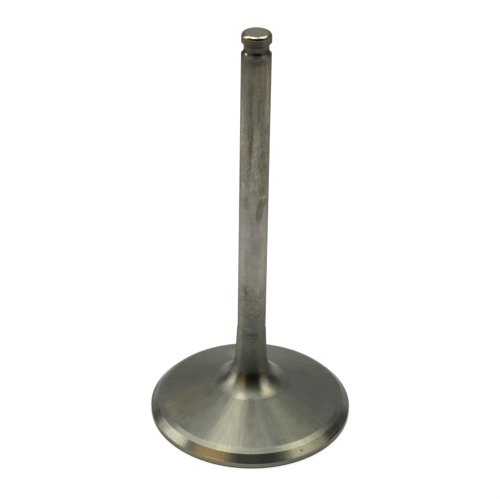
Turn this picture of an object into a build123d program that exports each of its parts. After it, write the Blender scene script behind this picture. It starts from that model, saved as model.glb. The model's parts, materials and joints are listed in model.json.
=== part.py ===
from build123d import *
from math import cos, radians, sin, tan
import os

# Engine poppet valve, turned and ground from one forging, so it is one solid.
# It stands on its flat combustion face, with that face's centre at the origin and the stem along +Z.
# Lengths are in millimetres and angles in degrees. Flank angles are measured from the face's plane.

# Head
head_diameter = 50.8
face_chamfer = 0.25
margin_height = 1.6
seat_angle = 45.0
seat_width = 2.43
back_cut_angle = 30.0
back_cut_width = 1.43
underhead_angle = 20.0

# Neck between the underhead cone and the ground stem
underhead_fillet_radius = 8.1
neck_taper = 2.5
neck_top_height = 24.4
neck_step_depth = 0.12
neck_step_length = 0.3

# Ground stem and tip
stem_diameter = 7.0
overall_length = 103.8
tip_edge_radius = 0.5

# Round keeper groove, placed by its middle below the tip
keeper_groove_drop = 3.6
keeper_groove_depth = 0.575
keeper_groove_floor = 0.75
keeper_groove_radius = 1.25
keeper_groove_edge = 0.12

# Worked out from the sizes above
head_radius = head_diameter / 2
stem_radius = stem_diameter / 2
neck_top_radius = stem_radius + neck_step_depth
stem_bottom_height = neck_top_height + neck_step_length
keeper_groove_height = overall_length - keeper_groove_drop


def flank_end(start, width, angle):
    """Upper end of a conical flank that rises inwards from start, as (radius, height)."""
    radius, height = start
    return (radius - width * cos(radians(angle)), height + width * sin(radians(angle)))


def underhead_corner(cone_start):
    """Point where the underhead cone would meet the tapered neck if no fillet joined them."""
    radius, height = cone_start
    cone_slope = tan(radians(underhead_angle))
    neck_slope = tan(radians(neck_taper))
    reach = neck_top_radius + neck_slope * (neck_top_height - height - radius * cone_slope)
    corner_radius = reach / (1 - neck_slope * cone_slope)
    return (corner_radius, height + (radius - corner_radius) * cone_slope)


def nearest_corner(sketch, point):
    """The sketch's vertex that lies nearest to a point."""
    return sketch.vertices().sort_by_distance(point)[0]


def fillet_that_fits(cone_start, corner):
    """Underhead fillet radius, limited by the cone and the neck that it runs out on."""
    cone_length = (Vector(cone_start) - Vector(corner)).length
    neck_length = (Vector(neck_top_radius, neck_top_height) - Vector(corner)).length
    half_turn = radians(90 - underhead_angle - neck_taper) / 2
    return min(underhead_fillet_radius, 0.95 * min(cone_length, neck_length) / tan(half_turn))


def half_section():
    """Half of the valve's lengthwise section, from its axis outwards."""
    seat_start = (head_radius, margin_height)
    back_cut_start = flank_end(seat_start, seat_width, seat_angle)
    cone_start = flank_end(back_cut_start, back_cut_width, back_cut_angle)
    corner = underhead_corner(cone_start)
    tip_corner = (stem_radius, overall_length)
    groove_reach = stem_radius + keeper_groove_radius
    groove_span = keeper_groove_floor + 2 * keeper_groove_radius

    with BuildSketch(Plane.XZ) as section:
        with BuildLine():
            Polyline(
                (0, 0),
                (head_radius - face_chamfer, 0),
                (head_radius, face_chamfer),
                seat_start,
                back_cut_start,
                cone_start,
                corner,
                (neck_top_radius, neck_top_height),
                (stem_radius, stem_bottom_height),
                tip_corner,
                (0, overall_length),
                close=True,
            )
        make_face()
        fillet(nearest_corner(section, corner), fillet_that_fits(cone_start, corner))
        fillet(nearest_corner(section, tip_corner), tip_edge_radius)

        # Round-ended slot whose inner side is the groove's floor
        with Locations((stem_radius - keeper_groove_depth, keeper_groove_height)):
            RectangleRounded(
                2 * groove_reach,
                groove_span,
                keeper_groove_radius,
                align=(Align.MIN, Align.CENTER),
                mode=Mode.SUBTRACT,
            )
        rims = [
            nearest_corner(section, (stem_radius, keeper_groove_height + side * groove_span / 2))
            for side in (-1, 1)
        ]
        fillet(rims, keeper_groove_edge)
    return section.sketch


valve = revolve(half_section(), axis=Axis.Z)
valve.label = "valve"

os.makedirs("parts", exist_ok=True)
export_step(valve, "parts/valve.step")
print("valve: volume %.1f cubic mm, height %.2f mm" % (valve.volume, valve.bounding_box().size.Z))
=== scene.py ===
import json
import logging
import math
from dataclasses import dataclass, fields
from enum import Enum

import bpy
import numpy as np
from mathutils import Matrix, Vector

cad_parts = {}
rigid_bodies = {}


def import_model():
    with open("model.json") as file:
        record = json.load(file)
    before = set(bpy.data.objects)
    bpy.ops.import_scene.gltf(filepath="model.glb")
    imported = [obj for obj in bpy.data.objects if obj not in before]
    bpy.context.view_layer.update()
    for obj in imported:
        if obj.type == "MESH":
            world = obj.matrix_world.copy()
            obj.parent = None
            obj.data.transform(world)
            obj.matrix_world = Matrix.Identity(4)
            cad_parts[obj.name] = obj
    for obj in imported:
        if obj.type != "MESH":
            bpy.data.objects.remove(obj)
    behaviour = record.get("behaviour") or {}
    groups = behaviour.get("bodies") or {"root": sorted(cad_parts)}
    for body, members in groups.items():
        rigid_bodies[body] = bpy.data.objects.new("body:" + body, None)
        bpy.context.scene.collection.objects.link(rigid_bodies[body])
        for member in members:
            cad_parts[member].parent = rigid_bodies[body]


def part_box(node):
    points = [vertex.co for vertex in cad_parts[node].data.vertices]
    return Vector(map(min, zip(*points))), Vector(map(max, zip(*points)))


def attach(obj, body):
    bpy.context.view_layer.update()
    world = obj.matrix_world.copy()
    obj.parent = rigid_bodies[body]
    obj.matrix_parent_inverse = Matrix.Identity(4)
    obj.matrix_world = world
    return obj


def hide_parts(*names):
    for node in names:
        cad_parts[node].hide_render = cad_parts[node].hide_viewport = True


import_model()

log = logging.getLogger("engine_valve")

MM = 0.001
NODE = "valve"
BODY = "root"
FLOAT = "NodeSocketFloat"
VECTOR = "NodeSocketVector"
COLOUR = "NodeSocketColor"
NOISE_TO_SWING = 5.0
CLOUDS_IN_ROUGHNESS = 0.12
QUARTER_TURN = 0.25


class Zone(Enum):
    """Stretches of the turned section, in the order of the mesh's material slots."""

    FACE = 0
    MARGIN = 1
    SEAT = 2
    BACK_CUT = 3
    UNDERHEAD = 4
    NECK = 5
    STEM = 6
    TIP = 7
    EDGE = 8
    END = 9


@dataclass(frozen=True)
class Corner:
    """One corner of the section, in millimetres: its place, its rounding and the next stretch's zone."""

    radius: float
    height: float
    rounding: float
    zone: Zone


@dataclass(frozen=True)
class ValveSection:
    """Driving sizes of the valve's lengthwise section, in millimetres and degrees from the face's plane."""

    head_diameter: float
    overall_length: float
    face_chamfer: float = 0.25
    margin_height: float = 1.6
    seat_angle: float = 45.0
    seat_width: float = 2.43
    back_cut_angle: float = 30.0
    back_cut_width: float = 1.43
    underhead_angle: float = 20.0
    underhead_fillet_radius: float = 8.1
    neck_taper: float = 2.5
    neck_top_height: float = 24.4
    neck_step_depth: float = 0.12
    neck_step_length: float = 0.3
    stem_diameter: float = 7.0
    tip_edge_radius: float = 0.8
    groove_drop: float = 3.6
    groove_depth: float = 0.575
    groove_floor: float = 0.75
    groove_radius: float = 1.25
    groove_edge: float = 0.12
    ground_edge: float = 0.05
    step_edge: float = 0.06

    @classmethod
    def from_box(cls, low: Vector, high: Vector) -> "ValveSection":
        """Takes the two overall sizes from the solid's box.

        Args:
            low: lowest corner of the box, in metres.
            high: highest corner of the box, in metres.

        Returns:
            The section at the solid's own size.
        """
        return cls(head_diameter=(high[0] - low[0]) / MM, overall_length=(high[2] - low[2]) / MM)

    @property
    def stem_radius(self) -> float:
        """Radius of the ground stem."""
        return self.stem_diameter / 2

    @property
    def groove_height(self) -> float:
        """Height of the keeper groove's middle."""
        return self.overall_length - self.groove_drop

    def flank_end(self, start: tuple[float, float], width: float, angle: float) -> tuple[float, float]:
        """Upper end of a conical flank that rises inwards.

        Args:
            start: radius and height of the lower end.
            width: width along the flank.
            angle: angle from the face's plane, in degrees.

        Returns:
            Radius and height of the upper end.
        """
        turn = math.radians(angle)
        return start[0] - width * math.cos(turn), start[1] + width * math.sin(turn)

    def underhead_corner(self, cone_start: tuple[float, float]) -> tuple[float, float]:
        """Point where the underhead cone and the tapered neck would meet without their fillet.

        Args:
            cone_start: radius and height of the cone's lower end.

        Returns:
            Radius and height of the meeting point.
        """
        radius, height = cone_start
        cone_slope = math.tan(math.radians(self.underhead_angle))
        neck_slope = math.tan(math.radians(self.neck_taper))
        neck_top = self.stem_radius + self.neck_step_depth
        reach = neck_top + neck_slope * (self.neck_top_height - height - radius * cone_slope)
        corner = reach / (1 - neck_slope * cone_slope)
        return corner, height + (radius - corner) * cone_slope

    def groove_arc(self, side: int, steps: int = 12) -> np.ndarray:
        """One of the groove's two hollow flanks, as a quarter-like arc.

        The arc's centre stands one groove radius outside the floor, level with the end of the floor. It
        runs from the stem's surface to the floor, as centre + radius * (-cos a, side * sin a), with a going
        from the angle at which the arc meets the stem's surface to zero.

        Args:
            side: -1 for the lower flank and 1 for the upper one.
            steps: number of chords.

        Returns:
            Array of (radius, height), from the stem's surface to the floor.
        """
        rim = math.acos(1 - self.groove_depth / self.groove_radius)
        angle = np.linspace(rim, 0.0, steps + 1)
        centre_r = self.stem_radius - self.groove_depth + self.groove_radius
        centre_z = self.groove_height + side * self.groove_floor / 2
        return np.stack(
            [
                centre_r - self.groove_radius * np.cos(angle),
                centre_z + side * self.groove_radius * np.sin(angle),
            ],
            axis=1,
        )

    def corners(self) -> list[Corner]:
        """Lists the section's corners, from the middle of the face round the head to the middle of the tip.

        Returns:
            The corners in order, each with the zone of the stretch after it.
        """
        head = self.head_diameter / 2
        stem = self.stem_radius
        seat_start = (head, self.margin_height)
        back_cut_start = self.flank_end(seat_start, self.seat_width, self.seat_angle)
        cone_start = self.flank_end(back_cut_start, self.back_cut_width, self.back_cut_angle)
        corner = self.underhead_corner(cone_start)
        lower = self.groove_arc(-1)
        upper = self.groove_arc(1)[::-1]
        stem_bottom = self.neck_top_height + self.neck_step_length
        return [
            Corner(0.0, 0.0, 0.0, Zone.FACE),
            Corner(head - self.face_chamfer, 0.0, self.ground_edge, Zone.MARGIN),
            Corner(head, self.face_chamfer, self.ground_edge, Zone.MARGIN),
            Corner(*seat_start, self.ground_edge, Zone.SEAT),
            Corner(*back_cut_start, self.ground_edge, Zone.BACK_CUT),
            Corner(*cone_start, self.ground_edge, Zone.UNDERHEAD),
            Corner(*corner, self.underhead_fillet_radius, Zone.NECK),
            Corner(stem + self.neck_step_depth, self.neck_top_height, self.step_edge, Zone.NECK),
            Corner(stem, stem_bottom, self.step_edge, Zone.STEM),
            Corner(*lower[0], self.groove_edge, Zone.TIP),
            *(Corner(r, z, 0.0, Zone.TIP) for r, z in lower[1:]),
            *(Corner(r, z, 0.0, Zone.TIP) for r, z in upper[:-1]),
            Corner(*upper[-1], self.groove_edge, Zone.TIP),
            Corner(stem, self.overall_length, self.tip_edge_radius, Zone.EDGE),
            Corner(stem - self.tip_edge_radius - self.ground_edge, self.overall_length, 0.0, Zone.END),
            Corner(0.0, self.overall_length, 0.0, Zone.END),
        ]


@dataclass
class Profile:
    """The section as a fine line of points, in metres, with the zone of the stretch after each."""

    radius: np.ndarray
    height: np.ndarray
    zone: np.ndarray
    ARC_STEPS = 8
    MORE_STEPS_PER_MM = 3

    @classmethod
    def trace(cls, corners: list[Corner], longest: float, guard: float) -> "Profile":
        """Rounds the corners and divides the straight stretches.

        A rounded corner becomes the arc that touches both of its stretches. Its points lie at centre plus
        radius times the direction, which turns evenly from one stretch's normal to the other's. Each
        straight stretch has a point a guard distance inside both ends, so that smooth shading stays flat.

        Args:
            corners: the section's corners.
            longest: the longest distance between two points on a straight stretch, in millimetres.
            guard: the guard distance, in millimetres.

        Returns:
            The profile in metres.
        """
        at = np.array([(c.radius, c.height) for c in corners])
        arcs = [cls._arc(at, corners, i) for i in range(len(corners))]
        points, zones = [], []
        for i, (arc, corner) in enumerate(zip(arcs, corners)):
            points.append(arc)
            zones.append(np.full(len(arc), corner.zone.value))
            if i + 1 < len(arcs):
                between = cls._stretch(arc[-1], arcs[i + 1][0], longest, guard)
                points.append(between)
                zones.append(np.full(len(between), corner.zone.value))
        line = np.concatenate(points) * MM
        return cls(line[:, 0], line[:, 1], np.concatenate(zones)[:-1])

    @classmethod
    def _arc(cls, at: np.ndarray, corners: list[Corner], i: int) -> np.ndarray:
        """Points of the arc at one corner, or the corner itself where it stays sharp.

        The steps follow the turn in radians, and a larger rounding in millimetres gets more of them.

        Args:
            at: all corners as (radius, height).
            corners: the same corners with their roundings.
            i: which corner.

        Returns:
            Array of (radius, height).
        """
        rounding = corners[i].rounding
        if rounding == 0 or i in (0, len(corners) - 1):
            return at[i : i + 1]
        into = at[i] - at[i - 1]
        out = at[i + 1] - at[i]
        into, out = into / np.linalg.norm(into), out / np.linalg.norm(out)
        turn = math.atan2(into[0] * out[1] - into[1] * out[0], float(into @ out))
        reach = rounding * math.tan(abs(turn) / 2)
        normal = np.array([-into[1], into[0]]) * math.copysign(1, turn)
        centre = at[i] - into * reach + normal * rounding
        steps = max(3, int(abs(turn) * (cls.ARC_STEPS + cls.MORE_STEPS_PER_MM * rounding)))
        angle = np.linspace(0, turn, steps + 1)[:, None]
        spoke = -normal * rounding
        return centre + np.cos(angle) * spoke + np.sin(angle) * np.array([-spoke[1], spoke[0]])

    @staticmethod
    def _stretch(start: np.ndarray, end: np.ndarray, longest: float, guard: float) -> np.ndarray:
        """Points between the two ends of a straight stretch, without the ends.

        Args:
            start: first end as (radius, height).
            end: second end.
            longest: the longest distance between two points.
            guard: distance of the guard points from the ends.

        Returns:
            Array of (radius, height), empty where the stretch is short.
        """
        length = float(np.linalg.norm(end - start))
        if length < 3 * guard:
            return np.empty((0, 2))
        inner = np.linspace(guard, length - guard, max(2, int(math.ceil(length / longest)) + 1))
        return start + (end - start) * (inner / length)[:, None]


@dataclass
class TurnedBody:
    """The whole valve as one closed surface of revolution."""

    section: ValveSection
    segments: int = 400
    longest_step: float = 2.0
    guard: float = 0.04

    def build(self) -> bpy.types.Object:
        """Makes the valve's mesh object.

        The surface is P(a, s) = (r(s) sin a, -r(s) cos a, z(s)), with the angle a measured from the front
        and s counting the profile's points. The first and last points lie on the axis and close the two
        poles with fans. The seam of the UV map is at the back.

        Returns:
            The object, at the origin, with each face's zone as its material index; the materials come later.
        """
        profile = Profile.trace(self.section.corners(), self.longest_step, self.guard)
        rings = len(profile.radius) - 2
        angle = np.arange(self.segments) * (2 * math.pi / self.segments) - math.pi
        ring_r, ring_z = profile.radius[1:-1], profile.height[1:-1]
        grid = np.stack(
            [
                np.outer(ring_r, np.sin(angle)),
                np.outer(ring_r, -np.cos(angle)),
                np.repeat(ring_z[:, None], self.segments, axis=1),
            ],
            axis=2,
        ).reshape(-1, 3)
        ends = np.array([[0, 0, profile.height[0]], [0, 0, profile.height[-1]]])
        vertices = np.concatenate([grid, ends])

        ring = np.arange(rings - 1)[:, None] * self.segments
        column = np.arange(self.segments)[None, :]
        following = (column + 1) % self.segments
        above = ring + self.segments
        quads = np.stack(
            [ring + column, ring + following, above + following, above + column], axis=2
        ).reshape(-1, 4)
        first = np.arange(self.segments)
        after = (first + 1) % self.segments
        last = (rings - 1) * self.segments
        bottom = np.stack([np.full(self.segments, len(grid)), after, first], axis=1)
        top = np.stack([np.full(self.segments, len(grid) + 1), last + first, last + after], axis=1)

        mesh = bpy.data.meshes.new("valve_body")
        mesh.from_pydata(vertices.tolist(), [], quads.tolist() + bottom.tolist() + top.tolist())
        self._mark(mesh, profile, rings)
        mesh.validate()
        mesh.update()
        body = bpy.data.objects.new("valve_body", mesh)
        bpy.context.scene.collection.objects.link(body)
        return body

    def _mark(self, mesh: bpy.types.Mesh, profile: Profile, rings: int) -> None:
        """Writes smooth shading, zones and the UV map to the mesh.

        The UV map unrolls the surface to a strip: u goes once round the valve and v follows the profile's
        length.

        Args:
            mesh: the mesh to write to.
            profile: the profile that the mesh was made from.
            rings: the number of rings between the poles.
        """
        quad_zone = np.repeat(profile.zone[1:-1], self.segments)
        fans = np.repeat(profile.zone[[0, -1]], self.segments)
        mesh.polygons.foreach_set("material_index", np.concatenate([quad_zone, fans]).astype(np.int32))
        mesh.polygons.foreach_set("use_smooth", np.ones(len(mesh.polygons), dtype=bool))

        steps = np.hypot(np.diff(profile.radius), np.diff(profile.height))
        along = np.concatenate([[0.0], np.cumsum(steps)])
        along /= along[-1]
        row = np.arange(1, rings)[:, None]
        column = np.arange(self.segments)[None, :]
        u0, u1 = column / self.segments, (column + 1) / self.segments
        v0, v1 = along[row], along[row + 1]
        corners = np.broadcast_arrays(u0, v0, u1, v0, u1, v1, u0, v1)
        quad_uv = np.stack(corners, axis=2).reshape(-1, 2)
        left, right = u0[0], u1[0]
        middle = (left + right) / 2
        bottom, top = np.zeros(self.segments), np.ones(self.segments)
        second, last_but_one = bottom + along[1], bottom + along[-2]
        low = np.stack([middle, bottom, right, second, left, second], axis=1)
        high = np.stack([middle, top, left, last_but_one, right, last_but_one], axis=1)
        uv = np.concatenate([quad_uv, low.reshape(-1, 2), high.reshape(-1, 2)])
        layer = mesh.uv_layers.new(name="OFBake")
        layer.uv.foreach_set("vector", uv.astype(np.float32).ravel())


class NodeTree:
    """A thin helper that adds and links nodes in a material's, group's or world's tree."""

    def __init__(self, tree: bpy.types.NodeTree) -> None:
        """Keeps the tree that nodes are added to."""
        self.tree = tree

    @classmethod
    def emptied(cls, owner: bpy.types.Material | bpy.types.World) -> "NodeTree":
        """Turns on the nodes of a material or world and empties them.

        Args:
            owner: the material or world.

        Returns:
            The helper on its tree.
        """
        owner.use_nodes = True
        owner.node_tree.nodes.clear()
        return cls(owner.node_tree)

    def add(self, kind: str, inputs: dict | None = None, **settings: object) -> bpy.types.Node:
        """Adds one node.

        Args:
            kind: the node's type name.
            inputs: socket name or index to a plain value, or to an output socket to link from.
            settings: the node's own properties.

        Returns:
            The new node.
        """
        node = self.tree.nodes.new(kind)
        for name, value in settings.items():
            setattr(node, name, value)
        for key, value in (inputs or {}).items():
            if isinstance(value, bpy.types.NodeSocket):
                self.tree.links.new(value, node.inputs[key])
            else:
                node.inputs[key].default_value = value
        return node

    def math(self, operation: str, *operands: object) -> bpy.types.NodeSocket:
        """Adds a Math node and gives its result.

        Args:
            operation: the operation's name.
            operands: up to three numbers or sockets.

        Returns:
            The result's socket.
        """
        return self.add("ShaderNodeMath", dict(enumerate(operands)), operation=operation).outputs[0]

    def step(self, value: object, low: object, high: object, rising: bool = True) -> bpy.types.NodeSocket:
        """Goes smoothly from 0 to 1 between two values, or from 1 to 0.

        Args:
            value: the value's socket.
            low: where the step starts.
            high: where the step ends.
            rising: False for a step from 1 to 0.

        Returns:
            The result's socket.
        """
        ends = {"To Min": 0.0, "To Max": 1.0} if rising else {"To Min": 1.0, "To Max": 0.0}
        node = self.add(
            "ShaderNodeMapRange",
            {"Value": value, "From Min": low, "From Max": high, **ends},
            interpolation_type="SMOOTHSTEP",
        )
        return node.outputs["Result"]

    def noise(
        self, place: object, scale: object, detail: float = 3.0, **settings: object
    ) -> bpy.types.NodeSocket:
        """Adds a Noise Texture node and gives its value.

        Args:
            place: the place's socket.
            scale: features per metre, or per unit of the place.
            detail: how many finer layers it has.
            settings: more of its inputs by name.

        Returns:
            The value's socket, with a mean of 0.5.
        """
        values = {"Vector": place, "Scale": scale, "Detail": detail, **settings}
        return self.add("ShaderNodeTexNoise", values).outputs[0]

    def swing(self, noise: object) -> bpy.types.NodeSocket:
        """Turns a noise's value into a swing about zero, mostly between -1 and 1."""
        return self.math("MULTIPLY", self.math("SUBTRACT", noise, 0.5), NOISE_TO_SWING)

    def vector(self, x: object = 0.0, y: object = 0.0, z: object = 0.0) -> bpy.types.NodeSocket:
        """Joins three values to a vector."""
        return self.add("ShaderNodeCombineXYZ", {0: x, 1: y, 2: z}).outputs[0]

    def parts(self, vector: object) -> bpy.types.NodeOutputs:
        """Takes a vector apart into X, Y and Z."""
        return self.add("ShaderNodeSeparateXYZ", {0: vector}).outputs

    def bearing(self, parts: bpy.types.NodeOutputs) -> bpy.types.NodeSocket:
        """Gives the angle of a way from the front, -Y, towards the right, in degrees: atan2(x, -y)."""
        back = self.math("MULTIPLY", parts["Y"], -1.0)
        return self.math("DEGREES", self.math("ARCTAN2", parts["X"], back))

    def squeezed(self, place: object, stretch: object, shift: object = 0.0) -> bpy.types.NodeSocket:
        """Squeezes a place along Z, so that a pattern drawn on it is stretched along the axis.

        Args:
            place: the place's socket.
            stretch: how many times longer the pattern gets.
            shift: what is added to X, to draw another stretch of the same pattern, in metres.

        Returns:
            The squeezed place's socket.
        """
        parts = self.parts(place)
        across = self.math("ADD", parts["X"], shift)
        return self.vector(across, parts["Y"], self.math("DIVIDE", parts["Z"], stretch))

    def ringed(self, outwards: object, count: float, third: object) -> bpy.types.NodeSocket:
        """Makes a place that goes round the valve without a seam.

        Args:
            outwards: the way outwards.
            count: the radius of the circle that the place goes round, in features of its noise.
            third: the place's third part.

        Returns:
            The place's socket.
        """
        parts = self.parts(outwards)
        return self.vector(*(self.math("MULTIPLY", parts[axis], count) for axis in "XY"), third)

    def mix(
        self, amount: object, first: object, second: object, blend: str = "MIX"
    ) -> bpy.types.NodeSocket:
        """Mixes two colours.

        Args:
            amount: share of the second colour.
            first: first colour, a tuple or a socket.
            second: second colour.
            blend: the blend mode.

        Returns:
            The mixed colour's socket.
        """
        colours = {0: amount, 6: first, 7: second}
        return self.add("ShaderNodeMix", colours, data_type="RGBA", blend_type=blend).outputs[2]

    def tint(self, amount: object, colour: object, tint: object) -> bpy.types.NodeSocket:
        """Multiplies a colour by a tint, as far as the amount says."""
        return self.mix(amount, colour, tint, "MULTIPLY")


def rgb(red: float, green: float, blue: float) -> tuple[float, float, float, float]:
    """Gives a colour with full alpha."""
    return (red, green, blue, 1.0)


def grey(level: float) -> tuple[float, float, float]:
    """Gives a neutral colour or tint."""
    return (level, level, level)


def inputs_of(item: object) -> dict[str, object]:
    """Turns a mark's dataclass into the inputs of the effect that draws it.

    A field's name becomes the input's, as half_angle becomes Half_Angle, and a tint gets its alpha.

    Args:
        item: the mark.

    Returns:
        Input name to value, as EffectGroup.place takes them.
    """
    values = {field.name.title(): getattr(item, field.name) for field in fields(item)}
    return {name: rgb(*value) if isinstance(value, tuple) else value for name, value in values.items()}


Sockets = dict[str, bpy.types.NodeSocket]


class EffectGroup:
    """Base of the shared shader effects: a node group with named inputs and outputs, built once."""

    name: str = ""
    inputs: dict[str, tuple[str, object]] = {}
    outputs: dict[str, str] = {}

    @classmethod
    def tree(cls) -> bpy.types.NodeTree:
        """Gives the group's tree and builds it on first use.

        Returns:
            The node group.
        """
        known = bpy.data.node_groups.get(cls.name)
        if known:
            return known
        made = bpy.data.node_groups.new(cls.name, "ShaderNodeTree")
        for name, (kind, value) in cls.inputs.items():
            socket = made.interface.new_socket(name, in_out="INPUT", socket_type=kind)
            if value is not None:
                socket.default_value = value
        for name, kind in cls.outputs.items():
            made.interface.new_socket(name, in_out="OUTPUT", socket_type=kind)
        nodes = NodeTree(made)
        start = nodes.add("NodeGroupInput")
        nodes.add("NodeGroupOutput", cls.work(nodes, start.outputs))
        return made

    @classmethod
    def work(cls, nodes: NodeTree, given: bpy.types.NodeOutputs) -> Sockets:
        """Builds the effect inside the group.

        Args:
            nodes: helper on the group's tree.
            given: the group's inputs.

        Returns:
            Output name to the socket that feeds it.
        """
        raise NotImplementedError

    @classmethod
    def place(cls, nodes: NodeTree, **values: object) -> bpy.types.NodeOutputs:
        """Places the effect in a material or in the world.

        Args:
            nodes: helper on the tree to place it in.
            values: input name, with underscores for spaces, to a value or a socket.

        Returns:
            The placed group's outputs.
        """
        inputs = {name.replace("_", " "): value for name, value in values.items()}
        return nodes.add("ShaderNodeGroup", inputs, node_tree=cls.tree()).outputs


class RoundPlace(EffectGroup):
    """Place on the valve: angle from the front in degrees, radius and height in mm, and the way outwards."""

    name = "round_place"
    inputs = {"Vector": (VECTOR, None)}
    outputs = {"Angle": FLOAT, "Radius": FLOAT, "Height": FLOAT, "Outwards": VECTOR}

    @classmethod
    def work(cls, nodes: NodeTree, given: bpy.types.NodeOutputs) -> Sockets:
        """The radius is the length of (x, y), and outwards is (x, y) over the radius.

        Args:
            nodes: helper on the group's tree.
            given: the group's inputs.

        Returns:
            Output name to the socket that feeds it.
        """
        parts = nodes.parts(given["Vector"])
        square = nodes.math("MULTIPLY", parts["Y"], parts["Y"])
        length = nodes.math("SQRT", nodes.math("MULTIPLY_ADD", parts["X"], parts["X"], square))
        return {
            "Angle": nodes.bearing(parts),
            "Radius": nodes.math("DIVIDE", length, MM),
            "Height": nodes.math("DIVIDE", parts["Z"], MM),
            "Outwards": nodes.vector(*(nodes.math("DIVIDE", parts[axis], length) for axis in "XY")),
        }


class LatheMarks(EffectGroup):
    """Fine rings left by turning or grinding, the same all round, with slow changes in depth."""

    name = "lathe_marks"
    inputs = {
        "Vector": (VECTOR, None),
        "Radius": (FLOAT, 1.0),
        "Height": (FLOAT, 0.0),
        "Rings per mm": (FLOAT, 8.0),
    }
    outputs = {"Height": FLOAT}
    FADED_PLACES_PER_METRE = 150.0
    LOST_WHERE_FADED = 0.5
    FADED = (0.35, 0.65)

    @classmethod
    def work(cls, nodes: NodeTree, given: bpy.types.NodeOutputs) -> Sockets:
        """Noise over radius and height alone makes rings, and slow noise over the surface weights them.

        Args:
            nodes: helper on the group's tree.
            given: the group's inputs.

        Returns:
            Output name to the socket that feeds it.
        """
        ways = (nodes.math("MULTIPLY", given[way], given["Rings per mm"]) for way in ("Radius", "Height"))
        rings = nodes.noise(nodes.vector(*ways), 1.0, Roughness=0.6)
        slow = nodes.noise(given["Vector"], cls.FADED_PLACES_PER_METRE, detail=2.0)
        faded = nodes.step(slow, *cls.FADED)
        shown = nodes.math("SUBTRACT", 1.0, nodes.math("MULTIPLY", cls.LOST_WHERE_FADED, faded))
        return {"Height": nodes.math("MULTIPLY_ADD", nodes.math("SUBTRACT", rings, 0.5), shown, 0.5)}


class AxialStreaks(EffectGroup):
    """Streaks along the axis, between two heights. A short stretch makes worm-like blotches of them."""

    name = "axial_streaks"
    inputs = {
        "Vector": (VECTOR, None),
        "Height": (FLOAT, 0.0),
        "Scale": (FLOAT, 1000.0),
        "Stretch": (FLOAT, 10.0),
        "Distortion": (FLOAT, 0.0),
        "Amount": (FLOAT, 0.2),
        "Low": (FLOAT, 0.0),
        "High": (FLOAT, 200.0),
        "Fade": (FLOAT, 4.0),
    }
    outputs = {"Factor": FLOAT}

    @classmethod
    def work(cls, nodes: NodeTree, given: bpy.types.NodeOutputs) -> Sockets:
        """Factor is 1 + amount * band * swing, with a swing of noise over the place squeezed along Z.

        Args:
            nodes: helper on the group's tree.
            given: the group's inputs.

        Returns:
            Output name to the socket that feeds it.
        """
        place = nodes.squeezed(given["Vector"], given["Stretch"])
        noise = nodes.noise(
            place, given["Scale"], detail=4.0, Roughness=0.6, Distortion=given["Distortion"]
        )
        below = nodes.math("SUBTRACT", given["Low"], given["Fade"])
        above = nodes.math("ADD", given["High"], given["Fade"])
        band = nodes.math(
            "MULTIPLY",
            nodes.step(given["Height"], below, given["Low"]),
            nodes.step(given["Height"], given["High"], above, rising=False),
        )
        weight = nodes.math("MULTIPLY", band, given["Amount"])
        return {"Factor": nodes.math("MULTIPLY_ADD", nodes.swing(noise), weight, 1.0)}


class RadialStreaks(EffectGroup):
    """Fine streaks that run from the middle outwards, without a seam."""

    name = "radial_streaks"
    inputs = {"Outwards": (VECTOR, None), "Radius": (FLOAT, 1.0), "Amount": (FLOAT, 0.1)}
    outputs = {"Factor": FLOAT}
    COUNT = 40.0
    LENGTH_MM = 6.0

    @classmethod
    def work(cls, nodes: NodeTree, given: bpy.types.NodeOutputs) -> Sockets:
        """Factor is 1 + amount * swing, with noise over the way outwards and the radius over a length.

        Args:
            nodes: helper on the group's tree.
            given: the group's inputs.

        Returns:
            Output name to the socket that feeds it.
        """
        along = nodes.math("DIVIDE", given["Radius"], cls.LENGTH_MM)
        place = nodes.ringed(given["Outwards"], cls.COUNT, along)
        swing = nodes.swing(nodes.noise(place, 1.0, detail=4.0))
        return {"Factor": nodes.math("MULTIPLY_ADD", swing, given["Amount"], 1.0)}


class Speckle(EffectGroup):
    """Grain of small light and dark spots over slower, cloudy patches."""

    name = "speckle"
    inputs = {"Vector": (VECTOR, None), "Grain": (FLOAT, 0.05), "Clouds": (FLOAT, 0.05)}
    outputs = {"Factor": FLOAT, "Clouds": FLOAT}
    SPOTS_PER_METRE = 2600.0
    CLOUDS_PER_METRE = 330.0

    @classmethod
    def work(cls, nodes: NodeTree, given: bpy.types.NodeOutputs) -> Sockets:
        """Factor is 1 + grain * fine swing + clouds * slow swing. Clouds is the slow noise itself.

        Args:
            nodes: helper on the group's tree.
            given: the group's inputs.

        Returns:
            Output name to the socket that feeds it.
        """
        fine = nodes.swing(nodes.noise(given["Vector"], cls.SPOTS_PER_METRE, detail=2.0))
        slow = nodes.noise(given["Vector"], cls.CLOUDS_PER_METRE, detail=4.0)
        grainy = nodes.math("MULTIPLY_ADD", fine, given["Grain"], 1.0)
        return {
            "Factor": nodes.math("MULTIPLY_ADD", nodes.swing(slow), given["Clouds"], grainy),
            "Clouds": slow,
        }


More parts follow.
